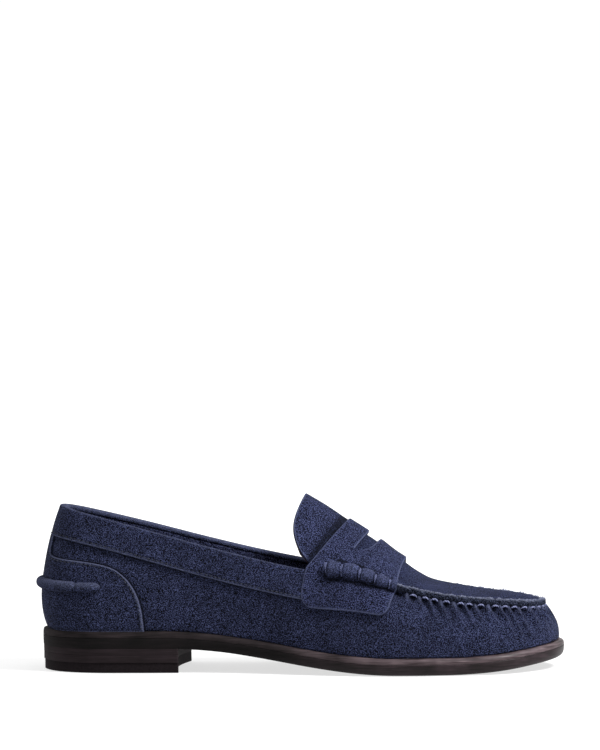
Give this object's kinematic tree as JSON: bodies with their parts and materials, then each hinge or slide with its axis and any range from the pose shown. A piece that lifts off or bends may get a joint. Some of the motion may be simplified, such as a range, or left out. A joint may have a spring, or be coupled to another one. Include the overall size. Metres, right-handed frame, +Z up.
{
  "type": "penny loafer",
  "caption": "Low-heeled moccasin slip-on shoe with an apron toe, a slotted saddle strap over the instep and a free tongue; covers and carries a right foot.",
  "frame": {"origin": "middle of the box's bottom, on the ground between heel and ball", "axes": "+X from heel to toe, +Z up, +Y to the shoe's medial side"},
  "size_m": [0.2642, 0.0902, 0.0872],
  "materials": {
    "suede": "matte",
    "lining_leather": "matte",
    "sole_leather": "satin",
    "heel_rubber": "matte",
    "nail_brass": "satin",
    "shank_steel": "satin",
    "fibre_board": "matte",
    "foam": "matte"
  },
  "bodies": {
    "shoe": {"outsole": "sole_leather", "welt": "sole_leather", "heel_lift_upper": "sole_leather", "heel_lift_lower": "sole_leather", "heel_top_piece": "heel_rubber", "heel_nail_1": "nail_brass", "heel_nail_2": "nail_brass", "heel_nail_3": "nail_brass", "heel_nail_4": "nail_brass", "heel_nail_5": "nail_brass", "shank": "shank_steel", "bottom_filler": "fibre_board", "insole_board": "fibre_board", "footbed_foam": "foam", "sock_lining": "lining_leather", "heel_counter": "fibre_board", "toe_puff": "fibre_board", "quarter_lining": "lining_leather", "vamp_lining": "lining_leather", "apron_lining": "lining_leather", "collar_facing": "suede", "moccasin_wall": "suede", "apron": "suede", "seam_ridge": "suede", "saddle_strap": "suede", "beef_roll_lateral": "suede", "beef_roll_medial": "suede", "collar_band": "suede", "back_foxing": "suede", "heel_roll": "suede"},
    "tongue": {"tongue": "suede", "tongue_lining": "lining_leather"}
  },
  "joints": [
    {"name": "tongue_flex", "type": "hinge", "parent": "shoe", "child": "tongue", "pos_m": [0.0212, 0.0001, 0.0725], "axis": [0, 1, 0], "range_deg": [-4, 25], "stiffness_Nm_per_rad": 0.05}
  ]
}
